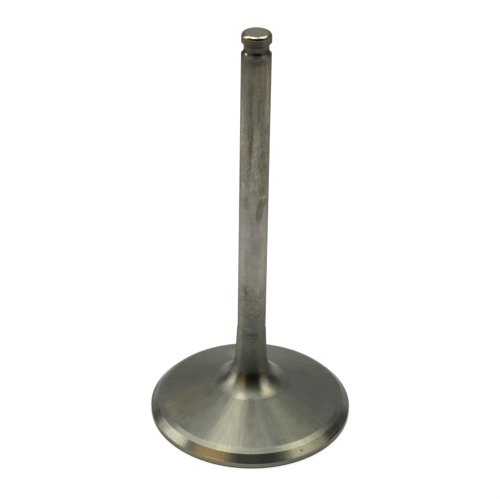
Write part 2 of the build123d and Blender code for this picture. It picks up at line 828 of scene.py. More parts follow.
class Tarnish(EffectGroup):
    """Soft patches of an interference tint, stretched along the axis."""

    name = "tarnish"
    inputs = {
        "Vector": (VECTOR, None),
        "Scale": (FLOAT, 300.0),
        "Stretch": (FLOAT, 3.0),
        "Shift": (FLOAT, 0.0),
        "Colour": (COLOUR, (0.5, 0.5, 0.5, 1.0)),
        "Tint": (COLOUR, (1.0, 1.0, 1.0, 1.0)),
    }
    outputs = {"Colour": COLOUR}
    PATCH_RIM = (0.46, 0.62)

    @classmethod
    def work(cls, nodes: NodeTree, given: bpy.types.NodeOutputs) -> Sockets:
        """Multiplies by the tint where slow noise is high.

        Args:
            nodes: helper on the group's tree.
            given: the group's inputs.

        Returns:
            Output name to the socket that feeds it.
        """
        place = nodes.squeezed(given["Vector"], given["Stretch"], given["Shift"])
        mask = nodes.step(nodes.noise(place, given["Scale"]), *cls.PATCH_RIM)
        return {"Colour": nodes.tint(mask, given["Colour"], given["Tint"])}


class StainAndLightMark(EffectGroup):
    """One soft mark with ragged edges, used both for stains and for painted highlights and painted shade,
    which tints the colour at its place.
    """

    name = "stain_and_light_mark"
    inputs = {
        "Vector": (VECTOR, None),
        "Angle": (FLOAT, 0.0),
        "Height": (FLOAT, 0.0),
        "Colour": (COLOUR, (0.5, 0.5, 0.5, 1.0)),
        "Tint": (COLOUR, (1.0, 1.0, 1.0, 1.0)),
        "At Angle": (FLOAT, 0.0),
        "At Height": (FLOAT, 0.0),
        "Half Angle": (FLOAT, 15.0),
        "Half Height": (FLOAT, 3.0),
        "Lean": (FLOAT, 0.0),
        "Raggedness": (FLOAT, 1.2),
        "Softness": (FLOAT, 0.5),
    }
    outputs = {"Colour": COLOUR}
    RAGS_PER_METRE = 1400.0
    RAG_STRETCH = 1 / 0.35

    @classmethod
    def work(cls, nodes: NodeTree, given: bpy.types.NodeOutputs) -> Sockets:
        """The mask is one minus a smooth step of the distance in half sizes, with noise added.

        Args:
            nodes: helper on the group's tree.
            given: the group's inputs.

        Returns:
            Output name to the socket that feeds it.
        """
        rise = nodes.math("SUBTRACT", given["Height"], given["At Height"])
        middle = nodes.math("MULTIPLY_ADD", rise, given["Lean"], given["At Angle"])
        across = nodes.math("DIVIDE", nodes.math("SUBTRACT", given["Angle"], middle), given["Half Angle"])
        along = nodes.math("DIVIDE", rise, given["Half Height"])
        squares = nodes.math("MULTIPLY_ADD", across, across, nodes.math("MULTIPLY", along, along))
        rags = nodes.noise(nodes.squeezed(given["Vector"], cls.RAG_STRETCH), cls.RAGS_PER_METRE)
        noise = nodes.math("SUBTRACT", rags, 0.5)
        distance = nodes.math("MULTIPLY_ADD", noise, given["Raggedness"], nodes.math("SQRT", squares))
        inner = nodes.math("SUBTRACT", 1.0, given["Softness"])
        outer = nodes.math("ADD", 1.0, given["Softness"])
        mask = nodes.step(distance, inner, outer, rising=False)
        return {"Colour": nodes.tint(mask, given["Colour"], given["Tint"])}


class BrokenLine(EffectGroup):
    """A thin line round the valve at one height, broken up along its way, which tints the colour."""

    name = "broken_line"
    inputs = {
        "Outwards": (VECTOR, None),
        "Height": (FLOAT, 0.0),
        "Colour": (COLOUR, (0.5, 0.5, 0.5, 1.0)),
        "Tint": (COLOUR, (1.0, 1.0, 1.0, 1.0)),
        "At Height": (FLOAT, 0.0),
        "Half Height": (FLOAT, 0.1),
    }
    outputs = {"Colour": COLOUR}
    COUNT = 14.0
    BREAKS_PER_MM_OF_HEIGHT = 3.0
    LOST_IN_GAPS = 0.5
    LINE_RIM = (0.4, 1.4)
    GAP_RIM = (0.36, 0.62)

    @classmethod
    def work(cls, nodes: NodeTree, given: bpy.types.NodeOutputs) -> Sockets:
        """The mask falls with the distance in height and is weighted by noise round the valve.

        Args:
            nodes: helper on the group's tree.
            given: the group's inputs.

        Returns:
            Output name to the socket that feeds it.
        """
        away = nodes.math("ABSOLUTE", nodes.math("SUBTRACT", given["Height"], given["At Height"]))
        line = nodes.step(nodes.math("DIVIDE", away, given["Half Height"]), *cls.LINE_RIM, rising=False)
        up = nodes.math("MULTIPLY", given["Height"], cls.BREAKS_PER_MM_OF_HEIGHT)
        place = nodes.ringed(given["Outwards"], cls.COUNT, up)
        gap = nodes.step(nodes.noise(place, 1.0), *cls.GAP_RIM)
        shown = nodes.math("SUBTRACT", 1.0, nodes.math("MULTIPLY", cls.LOST_IN_GAPS, gap))
        mask = nodes.math("MULTIPLY", line, shown)
        return {"Colour": nodes.tint(mask, given["Colour"], given["Tint"])}


class SoftPanelMask(EffectGroup):
    """Mask of a soft-edged rectangle of the surroundings, by azimuth and elevation in degrees."""

    name = "soft_panel_mask"
    inputs = {
        "Azimuth": (FLOAT, 0.0),
        "Elevation": (FLOAT, 0.0),
        "At Azimuth": (FLOAT, 0.0),
        "At Elevation": (FLOAT, 0.0),
        "Half Width": (FLOAT, 20.0),
        "Half Height": (FLOAT, 20.0),
        "Softness": (FLOAT, 5.0),
    }
    outputs = {"Mask": FLOAT}

    @classmethod
    def work(cls, nodes: NodeTree, given: bpy.types.NodeOutputs) -> Sockets:
        """Both distances from the middle fade over the softness, and the two masks are multiplied.

        Args:
            nodes: helper on the group's tree.
            given: the group's inputs.

        Returns:
            Output name to the socket that feeds it.
        """
        turn = nodes.math("SUBTRACT", given["Azimuth"], given["At Azimuth"])
        turn = nodes.math("WRAP", turn, 180.0, -180.0)
        rise = nodes.math("SUBTRACT", given["Elevation"], given["At Elevation"])
        sides = []
        for away, half in ((turn, given["Half Width"]), (rise, given["Half Height"])):
            inner = nodes.math("SUBTRACT", half, given["Softness"])
            outer = nodes.math("ADD", half, given["Softness"])
            sides.append(nodes.step(nodes.math("ABSOLUTE", away), inner, outer, rising=False))
        return {"Mask": nodes.math("MULTIPLY", *sides)}


@dataclass(frozen=True)
class Tone:
    """The steel's colour at one height above the face, in millimetres; in several finishes it holds painted
    shade and painted highlights.
    """

    height: float
    colour: tuple[float, float, float]


@dataclass(frozen=True)
class Streaks:
    """Streaks along the axis between two heights, in millimetres, past which they fade.

    The scale is in streaks per metre, the stretch says how many times longer than wide they are, and the
    amount is the share by which the colour swings.
    """

    scale: float
    stretch: float
    amount: float
    low: float = 0.0
    high: float = 200.0
    fade: float = 4.0
    distortion: float = 0.0


@dataclass(frozen=True)
class Patches:
    """Soft patches all over a surface: their tint, number per metre, stretch and shift in metres."""

    tint: tuple[float, float, float]
    scale: float
    stretch: float
    shift: float


@dataclass(frozen=True)
class StainAndPaintedLight:
    """A mark, used both for real stains and for painted highlights and painted shade: its middle in mm of
    height and degrees right of the front, its half sizes and its tint.

    The lean is in degrees to the right per millimetre upwards. Raggedness and softness are in half sizes.
    """

    at_height: float
    at_angle: float
    half_height: float
    half_angle: float
    tint: tuple[float, float, float]
    lean: float = 0.0
    raggedness: float = 1.2
    softness: float = 0.5


@dataclass(frozen=True)
class Line:
    """A thin broken line round the valve: its height and half its own height in mm, and its tint."""

    at_height: float
    half_height: float
    tint: tuple[float, float, float]


@dataclass(frozen=True)
class Sheen:
    """Roughness that changes with the height, in millimetres, from one value to another."""

    lower: float
    upper: float
    start: float
    end: float


@dataclass(frozen=True)
class SteelFinish:
    """A machined steel surface: its tones by height, its gloss, and what lies on it, with painted highlights
    and painted shade among its tones and marks.

    The edge tint is the share of light that it mirrors at a glancing angle, and the ring depth is in
    millimetres. Ring strength, grain, clouds and radial are the shares by which the colour swings.
    """

    name: str
    tones: tuple[Tone, ...]
    roughness: float | Sheen
    anisotropy: float
    edge_tint: float = 0.6
    rings_per_mm: float = 8.0
    ring_depth: float = 0.0003
    ring_strength: float = 0.04
    grain: float = 0.05
    clouds: float = 0.04
    radial: float = 0.0
    streaks: tuple[Streaks, ...] = ()
    patches: tuple[Patches, ...] = ()
    stains: tuple[StainAndPaintedLight, ...] = ()
    lines: tuple[Line, ...] = ()

    def material(self) -> bpy.types.Material:
        """Builds the finish's material.

        Returns:
            The material.
        """
        made = bpy.data.materials.new(self.name)
        nodes = NodeTree.emptied(made)
        place = nodes.add("ShaderNodeTexCoord").outputs["Object"]
        where = RoundPlace.place(nodes, Vector=place)
        rings = LatheMarks.place(
            nodes,
            Vector=place,
            Radius=where["Radius"],
            Height=where["Height"],
            Rings_per_mm=self.rings_per_mm,
        )["Height"]
        speckle = Speckle.place(nodes, Vector=place, Grain=self.grain, Clouds=self.clouds)

        centred = nodes.math("SUBTRACT", rings, 0.5)
        strength = NOISE_TO_SWING * self.ring_strength
        factor = nodes.math("MULTIPLY_ADD", centred, strength, speckle["Factor"])
        factor = self._streaked(nodes, factor, place, where)
        colour = self._toned(nodes, where["Height"])
        colour = nodes.tint(1.0, colour, nodes.vector(factor, factor, factor))
        colour = self._marked(nodes, colour, place, where)

        clouds = nodes.math("SUBTRACT", speckle["Clouds"], 0.5)
        cloudy = nodes.math("MULTIPLY", clouds, CLOUDS_IN_ROUGHNESS)
        rough = nodes.math("ADD", cloudy, self._roughness(nodes, where["Height"]))
        depth = self.ring_depth * MM
        bump = nodes.add("ShaderNodeBump", {"Strength": 1.0, "Distance": depth, "Height": rings})
        around = nodes.add("ShaderNodeTangent", direction_type="RADIAL", axis="Z")
        surface = nodes.add(
            "ShaderNodeBsdfPrincipled",
            {
                "Base Color": colour,
                "Metallic": 1.0,
                "Roughness": rough,
                "Specular Tint": rgb(*grey(self.edge_tint)),
                "Anisotropic": self.anisotropy,
                "Anisotropic Rotation": QUARTER_TURN,
                "Tangent": around.outputs[0],
                "Normal": bump.outputs[0],
            },
        )
        nodes.add("ShaderNodeOutputMaterial", {"Surface": surface.outputs[0]})
        return made

    def _roughness(self, nodes: NodeTree, height: object) -> object:
        """Gives the roughness, by height where it changes.

        Args:
            nodes: helper on the material's tree.
            height: the height's socket.

        Returns:
            The plain roughness, or a socket.
        """
        gloss = self.roughness
        if not isinstance(gloss, Sheen):
            return gloss
        share = nodes.step(height, gloss.start, gloss.end)
        return nodes.math("MULTIPLY_ADD", share, gloss.upper - gloss.lower, gloss.lower)

    def _toned(self, nodes: NodeTree, height: object) -> object:
        """Gives the steel's colour by height, painted shade and painted highlights included.

        Args:
            nodes: helper on the material's tree.
            height: the height's socket.

        Returns:
            A colour's socket, or the plain colour where there is one tone.
        """
        first, last = self.tones[0], self.tones[-1]
        if first is last:
            return rgb(*first.colour)
        span = {"Value": height, "From Min": first.height, "From Max": last.height}
        share = nodes.add("ShaderNodeMapRange", span).outputs["Result"]
        ramp = nodes.add("ShaderNodeValToRGB", {"Fac": share})
        points = ramp.color_ramp.elements
        points[0].color, points[1].color = rgb(*first.colour), rgb(*last.colour)
        for tone in self.tones[1:-1]:
            at = (tone.height - first.height) / (last.height - first.height)
            points.new(at).color = rgb(*tone.colour)
        return ramp.outputs["Color"]

    def _streaked(
        self, nodes: NodeTree, factor: object, place: object, where: bpy.types.NodeOutputs
    ) -> bpy.types.NodeSocket:
        """Multiplies a factor by the finish's streaks.

        Args:
            nodes: helper on the material's tree.
            factor: the factor's socket.
            place: the object coordinates.
            where: the outputs of the round place.

        Returns:
            The new factor's socket.
        """
        layers = [
            AxialStreaks.place(nodes, Vector=place, Height=where["Height"], **inputs_of(item))
            for item in self.streaks
        ]
        if self.radial:
            ways = {"Outwards": where["Outwards"], "Radius": where["Radius"]}
            layers.append(RadialStreaks.place(nodes, Amount=self.radial, **ways))
        for layer in layers:
            factor = nodes.math("MULTIPLY", factor, layer["Factor"])
        return factor

    def _marked(
        self, nodes: NodeTree, colour: object, place: object, where: bpy.types.NodeOutputs
    ) -> bpy.types.NodeSocket:
        """Lays the finish's patches, its stains and painted light and shade, and its lines over a colour,
        one after the other.

        Args:
            nodes: helper on the material's tree.
            colour: the colour's socket.
            place: the object coordinates.
            where: the outputs of the round place.

        Returns:
            The marked colour's socket.
        """
        around = {"Vector": place, "Angle": where["Angle"], "Height": where["Height"]}
        along = {"Outwards": where["Outwards"], "Height": where["Height"]}
        layers = [(Tarnish, item, {"Vector": place}) for item in self.patches]
        layers += [(StainAndLightMark, item, around) for item in self.stains]
        layers += [(BrokenLine, item, along) for item in self.lines]
        for effect, item, ways in layers:
            colour = effect.place(nodes, Colour=colour, **ways, **inputs_of(item))["Colour"]
        return colour


@dataclass(frozen=True)
class SoftPanel:
    """A soft-edged panel of the surroundings, seen from the valve.

    The middle and the half sizes are in degrees: azimuth from the camera's side to the right, and elevation
    above the floor. A half width of 200 goes all round. In its colour, 1 is the floor's white.
    """

    name: str
    azimuth: float
    elevation: float
    half_width: float
    half_height: float
    softness: float
    colour: tuple[float, float, float]


@dataclass(frozen=True)
class Studio:
    """The pale floor, in metres, and the surroundings that light the valve and are mirrored in it."""

    floor_size: float = 60.0
    floor_glow: float = 0.83
    floor_albedo: float = 0.24
    wall: tuple[float, float, float] = (0.48, 0.49, 0.46)
    panels: tuple[SoftPanel, ...] = (
        SoftPanel("ceiling", 0, 90, 200, 26, 8, (0.96, 1.04, 0.98)),
        SoftPanel("overhead", 0, 90, 200, 8, 5, (2.4, 2.4, 2.0)),
        SoftPanel("backdrop", -172, 0, 46, 6, 4, (0.75, 0.77, 0.7)),
        SoftPanel("back_window", 178, 48, 24, 9, 3, (1.3, 1.3, 1.2)),
        SoftPanel("back_left_wall", -150, 42, 22, 15, 6, (0.68, 0.66, 0.56)),
        SoftPanel("ceiling_strip", -108, 74, 52, 7, 3, (4.5, 4.4, 3.6)),
        SoftPanel("left_box", -103, 43, 22, 27, 5, (1.5, 1.5, 1.4)),
        SoftPanel("left_lamp", -92, 27, 12, 10, 4, (3.8, 3.7, 3.1)),
        SoftPanel("left_fill", -68, 60, 12, 10, 4, (1.7, 1.9, 1.4)),
        SoftPanel("right_dark", 112, 12, 20, 24, 5, (0.13, 0.14, 0.12)),
        SoftPanel("right_upper_box", 98, 61, 24, 10, 4, (3.7, 3.6, 2.6)),
        SoftPanel("right_lower_box", 72, 46, 16, 9, 4, (3.0, 2.9, 2.1)),
        SoftPanel("right_low_box", 78, 31, 18, 6, 4, (1.3, 1.25, 0.95)),
        SoftPanel("low_dark", 10, 0, 90, 13, 4, (0.2, 0.2, 0.1)),
        SoftPanel("front_dark", 8, 20, 38, 28, 5, grey(0.0)),
        SoftPanel("warm_card", -50, 46, 20, 9, 4, (1.58, 1.14, 0.5)),
        SoftPanel("front_top", 15, 59, 42, 8, 3, (0.15, 0.15, 0.1)),
    )

    def build(self) -> None:
        """Makes the whole studio."""
        self._floor()
        self._world()
        log.info("studio: %s", ", ".join(panel.name for panel in self.panels))

    def _floor(self) -> None:
        """Makes the pale floor. It is white to the camera and to mirrors, and keeps the valve's shadow."""
        half = self.floor_size / 2
        mesh = bpy.data.meshes.new("floor")
        corners = [(-half, -half, 0), (half, -half, 0), (half, half, 0), (-half, half, 0)]
        mesh.from_pydata(corners, [], [(0, 1, 2, 3)])
        floor = bpy.data.objects.new("floor", mesh)
        bpy.context.scene.collection.objects.link(floor)
        paint = bpy.data.materials.new("floor_paint")
        nodes = NodeTree.emptied(paint)
        matt = nodes.add("ShaderNodeBsdfDiffuse", {"Color": rgb(*grey(self.floor_albedo))})
        glow = nodes.add("ShaderNodeEmission", {"Color": rgb(*grey(1)), "Strength": self.floor_glow})
        both = nodes.add("ShaderNodeAddShader", {0: matt.outputs[0], 1: glow.outputs[0]})
        path = nodes.add("ShaderNodeLightPath").outputs
        seen = nodes.math("MAXIMUM", path["Is Camera Ray"], path["Is Glossy Ray"])
        seen = nodes.math("MAXIMUM", seen, path["Is Transmission Ray"])
        surface = nodes.add("ShaderNodeMixShader", {0: seen, 1: matt.outputs[0], 2: both.outputs[0]})
        nodes.add("ShaderNodeOutputMaterial", {"Surface": surface.outputs[0]})
        mesh.materials.append(paint)

    def _world(self) -> None:
        """Makes the surroundings: a grey wall with the panels laid over it in their order."""
        world = bpy.data.worlds.new("studio")
        bpy.context.scene.world = world
        nodes = NodeTree.emptied(world)
        parts = nodes.parts(nodes.add("ShaderNodeTexCoord").outputs["Generated"])
        azimuth = nodes.bearing(parts)
        elevation = nodes.math("DEGREES", nodes.math("ARCSINE", parts["Z"]))
        colour = rgb(*self.wall)
        for panel in self.panels:
            mask = SoftPanelMask.place(
                nodes,
                Azimuth=azimuth,
                Elevation=elevation,
                At_Azimuth=panel.azimuth,
                At_Elevation=panel.elevation,
                Half_Width=panel.half_width,
                Half_Height=panel.half_height,
                Softness=panel.softness,
            )["Mask"]
            colour = nodes.mix(mask, colour, rgb(*panel.colour))
        sky = nodes.add("ShaderNodeBackground", {"Color": colour, "Strength": 1.0})
        nodes.add("ShaderNodeOutputWorld", {"Surface": sky.outputs[0]})


@dataclass(frozen=True)
class PhotoCamera:
    """The photograph's camera, worked out from the head's outline and the stem's edges.

    Its place and clipping are in metres, its angles in degrees, its focal length and frame in pixels and
    its sensor in millimetres. The pitch is downwards.
    """

    distance: float = 0.31674
    height: float = 0.23941
    yaw: float = -0.1263
    pitch: float = 31.2506
    roll: float = -0.9655
    focal_pixels: float = 1532.18
    frame_width: int = 500
    sensor: float = 36.0
    nearest: float = 0.01
    farthest: float = 100.0

    def build(self) -> bpy.types.Object:
        """Makes the camera and makes it the scene's own.

        Returns:
            The camera's object.
        """
        yaw, pitch, roll = (math.radians(x) for x in (self.yaw, self.pitch, self.roll))
        ahead = Vector((math.sin(yaw), math.cos(yaw), 0.0))
        forward = ahead * math.cos(pitch) - Vector((0.0, 0.0, math.sin(pitch)))
        level = Vector((math.cos(yaw), -math.sin(yaw), 0.0))
        down = forward.cross(level)
        right = level * math.cos(roll) + down * math.sin(roll)
        lower = down * math.cos(roll) - level * math.sin(roll)
        turn = Matrix((right, -lower, -forward)).transposed()
        data = bpy.data.cameras.new("photo_camera")
        data.sensor_width = self.sensor
        data.lens = self.focal_pixels / self.frame_width * self.sensor
        data.clip_start, data.clip_end = self.nearest, self.farthest
        camera = bpy.data.objects.new("photo_camera", data)
        camera.matrix_world = Matrix.Translation((0.0, -self.distance, self.height)) @ turn.to_4x4()
        bpy.context.scene.collection.objects.link(camera)
        bpy.context.scene.camera = camera
        return camera


# Painted highlights and painted shade that cross the line between the cone and the fillet
FILLET_PAINTED_LIGHT_AND_SHADE = (
    StainAndPaintedLight(9.1, 32, 0.5, 14, grey(0.82), raggedness=0.3),
    StainAndPaintedLight(9.1, 75, 0.6, 20, grey(0.82), raggedness=0.3),
    StainAndPaintedLight(9.6, 142, 0.7, 18, (1.8, 1.8, 1.85), raggedness=0.2),
    StainAndPaintedLight(9.6, -142, 0.7, 18, (1.5, 1.5, 1.55), raggedness=0.2),
)


@dataclass(frozen=True)
class Finishes:
    """The valve's finishes, one for each zone, with their places in mm of height and degrees of angle."""

    face: SteelFinish = SteelFinish(
        "turned_face", (Tone(0, (0.12, 0.12, 0.1)),), 0.34, 0.6, ring_depth=0.0008
    )
    margin: SteelFinish = SteelFinish(
        "ground_margin",
        # Painted shade in the tones: dark along the bottom edge and the chamfer
        (
            Tone(0.0, (0.025, 0.025, 0.02)),
            Tone(0.42, (0.035, 0.035, 0.03)),
            Tone(0.62, (0.155, 0.15, 0.135)),
            Tone(1.6, (0.155, 0.15, 0.135)),
        ),
        0.3,
        0.4,
        grain=0.08,
        # Painted light on the left and painted shade on the right of the margin, and thin tinted lines on it
        stains=(
            StainAndPaintedLight(1.0, -40, 3.0, 34, (1.12, 1.1, 1.0), raggedness=0.3),
            StainAndPaintedLight(1.0, 30, 3.0, 18, (0.84, 0.86, 0.82), raggedness=0.3),
            StainAndPaintedLight(0.9, -48, 0.35, 24, (1.02, 1.02, 0.9), raggedness=0.8),
            StainAndPaintedLight(1.1, -24, 0.3, 12, (1.1, 1.0, 0.98), raggedness=0.8),
            StainAndPaintedLight(1.5, -22, 0.15, 22, (1.3, 1.25, 1.15), raggedness=0.6),
        ),
    )
    seat: SteelFinish = SteelFinish(
        "ground_seat",
        (Tone(0, (0.19, 0.19, 0.17)),),
        0.19,
        0.4,
        rings_per_mm=6.0,
        ring_strength=0.14,
        grain=0.12,
        clouds=0.09,
        radial=0.06,
        stains=(
            # Painted highlights and painted shade round the seat: light and dark fields, and thin light
            # lines
            StainAndPaintedLight(2.4, -61, 3.0, 4, (1.35, 1.32, 1.3), raggedness=0.2),
            StainAndPaintedLight(2.4, -72, 3.0, 5, (0.62, 0.64, 0.66), raggedness=0.2),
            StainAndPaintedLight(2.4, 20, 3.0, 4, (1.38, 1.38, 1.33), raggedness=0.2),
            StainAndPaintedLight(2.4, 31, 3.0, 4, (0.87, 0.87, 0.85), raggedness=0.2),
            StainAndPaintedLight(2.4, 10, 3.0, 4, (0.8, 0.8, 0.78), raggedness=0.2),
            StainAndPaintedLight(2.4, -10, 3.0, 2.5, (1.3, 1.3, 1.25), raggedness=0.2),
            StainAndPaintedLight(2.4, -41, 3.0, 5, (0.9, 0.86, 0.84), raggedness=0.2),
            StainAndPaintedLight(2.3, -50, 0.8, 4, (0.9, 0.9, 0.88)),
            StainAndPaintedLight(1.75, -20, 0.12, 14, (1.5, 1.5, 1.4), raggedness=0.4),
            StainAndPaintedLight(2.2, -63, 0.8, 5, (0.95, 0.86, 0.84), raggedness=1.4),
            StainAndPaintedLight(2.5, 56, 3.0, 3, (1.25, 1.25, 1.2), raggedness=0.3),
            StainAndPaintedLight(3.0, 66, 0.25, 13, (1.4, 1.4, 1.36), raggedness=0.8),
            StainAndPaintedLight(2.2, 62, 0.15, 10, (1.5, 1.5, 1.45), raggedness=0.8),
            # The nick
            StainAndPaintedLight(2.5, 31.6, 0.24, 0.55, (0.35, 0.28, 0.25), lean=-2.5, raggedness=0.4, softness=0.4),
            # More painted highlights and painted shade round the seat
            StainAndPaintedLight(2.4, 72, 3.0, 8, grey(1.3), raggedness=0.2),
            StainAndPaintedLight(2.4, 94, 3.0, 8, grey(0.75), raggedness=0.2),
            StainAndPaintedLight(2.6, 116, 3.0, 12, grey(0.7), raggedness=0.2),
            StainAndPaintedLight(2.4, -84, 3.0, 7, grey(0.84), raggedness=0.2),
            StainAndPaintedLight(1.9, -100, 0.5, 10, grey(0.75), raggedness=0.4),
            StainAndPaintedLight(1.9, 62, 0.3, 9, (1.25, 1.25, 1.22), raggedness=0.6),
        ),
        lines=(Line(1.72, 0.08, grey(0.75)),),
    )
    back_cut: SteelFinish = SteelFinish(
        "ground_back_cut",
        (Tone(0, (0.222, 0.222, 0.197)),),
        0.25,
        0.5,
        grain=0.08,
        radial=0.05,
        stains=(
            # Painted highlights and painted shade round the back-cut, and lighter thin lines along its two
            # edges
            StainAndPaintedLight(3.7, 30, 2.0, 8, (0.8, 0.82, 0.82), raggedness=0.2),
            StainAndPaintedLight(3.7, -60, 2.0, 8, (0.64, 0.65, 0.62), raggedness=0.2),
            StainAndPaintedLight(3.7, 114, 2.0, 16, grey(0.56), raggedness=0.2),
            StainAndPaintedLight(3.7, 74, 2.0, 18, grey(0.9), raggedness=0.3),
            StainAndPaintedLight(3.7, -38, 2.0, 13, (1.12, 1.12, 1.13), raggedness=0.3),
            StainAndPaintedLight(3.7, -18, 2.0, 7, (0.95, 0.9, 0.82), raggedness=0.4),
            StainAndPaintedLight(3.7, 40, 2.0, 5, (0.78, 0.78, 0.8), raggedness=0.4),
            StainAndPaintedLight(3.7, -70, 2.0, 5, grey(0.82), raggedness=0.3),
            StainAndPaintedLight(3.7, 50, 2.0, 4, (1.12, 1.12, 1.1), raggedness=0.3),
            StainAndPaintedLight(3.7, -114, 2.0, 14, (0.82, 0.82, 0.84), raggedness=0.2),
            StainAndPaintedLight(3.36, 5, 0.1, 62, (1.12, 1.12, 1.1), raggedness=0.6),
            StainAndPaintedLight(3.98, 0, 0.14, 34, (1.14, 1.14, 1.1), raggedness=0.6),
        ),
    )
    underhead: SteelFinish = SteelFinish(
        "turned_underhead",
        (Tone(0, (0.19, 0.19, 0.17)),),
        0.27,
        0.5,
        grain=0.04,
        clouds=0.05,
        radial=0.12,
        stains=(
            *FILLET_PAINTED_LIGHT_AND_SHADE,
            # Painted highlights and painted shade on the cone: light and dark fields round it, and a lighter
            # thin line along its lower edge
            StainAndPaintedLight(7.7, -165, 1.8, 9, grey(1.45), raggedness=0.2),
            StainAndPaintedLight(6.0, 40, 3.5, 13, (0.84, 0.84, 0.83), raggedness=0.3),
            StainAndPaintedLight(6.8, 20, 3.8, 6, (0.84, 0.83, 0.83), raggedness=0.3),
            StainAndPaintedLight(7.0, -15, 3.8, 9, (0.84, 0.83, 0.84), raggedness=0.3),
            StainAndPaintedLight(6.5, 72, 4.0, 22, (0.96, 0.97, 0.98), raggedness=0.3),
            StainAndPaintedLight(6.3, -40, 4.0, 5, grey(1.14), raggedness=0.3),
            StainAndPaintedLight(7.2, -67, 1.7, 8, (0.89, 0.9, 0.91), raggedness=0.6),
            StainAndPaintedLight(4.4, -66, 0.4, 14, grey(1.2), raggedness=0.6),
            StainAndPaintedLight(4.5, 9, 0.5, 5, (1.16, 1.16, 1.15), raggedness=0.5),
            StainAndPaintedLight(4.3, 21, 0.3, 5, grey(0.84), raggedness=0.5),
            StainAndPaintedLight(6.2, -72, 1.5, 12, (1.1, 1.05, 0.97), raggedness=0.8),
            StainAndPaintedLight(4.1, 0, 0.1, 30, (1.12, 1.12, 1.08), raggedness=0.6),
        ),
    )
    neck: SteelFinish = SteelFinish(
        "turned_neck",
        # Painted shade in the tones: darkest where the fillet meets the neck
        (
            Tone(9.0, (0.215, 0.215, 0.19)),
            Tone(10.2, (0.195, 0.195, 0.17)),
            Tone(11.0, (0.17, 0.17, 0.15)),
            Tone(12.0, (0.125, 0.125, 0.108)),
            Tone(13.0, (0.075, 0.075, 0.066)),
            Tone(14.5, (0.086, 0.088, 0.074)),
            Tone(16.5, (0.102, 0.104, 0.088)),
            Tone(20.0, (0.125, 0.127, 0.108)),
            Tone(24.4, (0.135, 0.136, 0.116)),
        ),
        Sheen(0.27, 0.45, 11.0, 16.0),
        0.75,
        grain=0.14,
        clouds=0.07,
        streaks=(
            Streaks(1100, 6, 0.08, 14, 25),
            Streaks(2600, 1.3, 0.14, 12, 30, 3, 1.0),
        ),
        stains=(
            *FILLET_PAINTED_LIGHT_AND_SHADE,
            # Painted shade and painted highlights on the neck: a dark field at the front, a lighter left
            # side, a gold reflection, a dark line under the step, and smaller light and dark patches
            StainAndPaintedLight(10.2, -74, 1.6, 11, (0.6, 0.6, 0.58), raggedness=0.3),
            StainAndPaintedLight(12.9, -58, 1.1, 16, grey(1.5), raggedness=0.3),
            StainAndPaintedLight(13.0, 10, 1.1, 23, (0.42, 0.4, 0.36), raggedness=0.4),
            StainAndPaintedLight(16.2, 18, 1.6, 14, (0.82, 0.85, 0.86)),
            StainAndPaintedLight(20.0, -57, 7.5, 17, (1.45, 1.43, 1.38), raggedness=0.3),
            StainAndPaintedLight(24.35, 3, 0.2, 26, (0.74, 0.75, 0.74), raggedness=0.5),
            StainAndPaintedLight(12.4, -23, 1.1, 13, (1.1, 0.97, 0.68), raggedness=0.3),
            StainAndPaintedLight(14.5, 4, 0.8, 30, (0.76, 0.73, 0.73), raggedness=0.3),
            StainAndPaintedLight(10.3, -68, 0.4, 7, grey(0.75), raggedness=0.3),
            StainAndPaintedLight(18.0, -20, 1.2, 12, grey(0.89)),
            StainAndPaintedLight(23.5, 12, 0.5, 14, grey(0.88)),
            StainAndPaintedLight(21.7, -14, 1.3, 32, (1.17, 1.17, 1.16)),
        ),
    )
